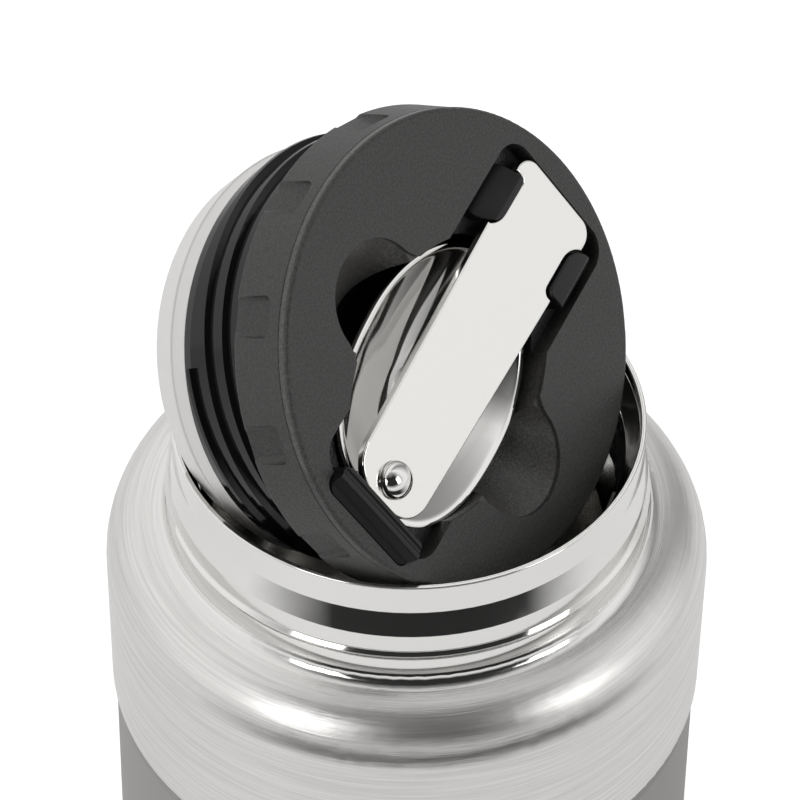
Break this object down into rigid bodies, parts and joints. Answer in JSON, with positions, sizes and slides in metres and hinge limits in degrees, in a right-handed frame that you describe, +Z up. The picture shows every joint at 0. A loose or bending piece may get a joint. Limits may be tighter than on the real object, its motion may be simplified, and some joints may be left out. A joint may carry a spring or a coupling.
{
  "type": "insulated food jar",
  "caption": "Vacuum-insulated steel food jar, its screw stopper lying tilted in the open mouth with a folding spoon clipped into the stopper's top",
  "frame": {"origin": "centre of the base, on the surface the jar stands on", "axes": "+Z up along the jar's axis; the stopper's face leans towards +X and -Y"},
  "size_m": [0.1, 0.1, 0.2041],
  "materials": {
    "shell_steel": "circumferentially brushed stainless steel, polished at the neck",
    "liner_steel": "polished stainless steel",
    "base_steel": "pressed stainless steel sheet",
    "foil": "thin bright foil",
    "getter_metal": "pressed metal powder",
    "braze": "melted braze bead",
    "sleeve_grey": "matte grey silicone",
    "pad_rubber": "matte black rubber",
    "cap_plastic": "fine-grained dark grey moulding",
    "collar_plastic": "glossy black moulding",
    "foam": "light closed-cell foam",
    "gasket_silicone": "translucent white silicone",
    "white_plastic": "white moulding",
    "clip_plastic": "semi-gloss black moulding",
    "clip_rubber": "soft black rubber",
    "bowl_steel": "mirror-polished stainless steel",
    "handle_steel": "satin-polished stainless steel"
  },
  "bodies": {
    "jar": {"outer_shell": "shell_steel", "inner_liner": "liner_steel", "radiation_foil": "foil", "getter": "getter_metal", "base_plate": "base_steel", "port_seal": "braze", "grip_sleeve": "sleeve_grey", "base_pad": "pad_rubber"},
    "stopper": {"stopper_cap": "cap_plastic", "spoon_tray": "cap_plastic", "stopper_collar": "collar_plastic", "stopper_foam": "foam", "seal_gasket": "gasket_silicone", "stopper_base_plate": "white_plastic", "left_clip": "clip_plastic", "right_clip": "clip_plastic", "heel_clip": "clip_rubber"},
    "spoon": {"spoon_bowl": "bowl_steel", "pivot_rivet": "bowl_steel", "pivot_washer": "bowl_steel"},
    "handle": {"spoon_handle": "handle_steel"}
  },
  "joints": [
    {"name": "stopper_lift", "type": "slide", "parent": "jar", "child": "stopper", "axis": [0, 0, 1], "range_m": [0, 0.12]},
    {"name": "spoon_lift", "type": "slide", "parent": "stopper", "child": "spoon", "axis": [0.6958, -0.5088, 0.5069], "range_m": [0, 0.12], "deforming": ["left_clip", "right_clip", "heel_clip"]},
    {"name": "handle_unfold", "type": "hinge", "parent": "spoon", "child": "handle", "pos_m": [-0.00235, -0.02928, 0.16458], "axis": [0.6958, -0.5088, 0.5069], "range_deg": [0, 180]}
  ],
  "couplings": [
    {"joint": "handle_unfold", "follows": "spoon_lift", "rad_per_m": 26.18}
  ]
}
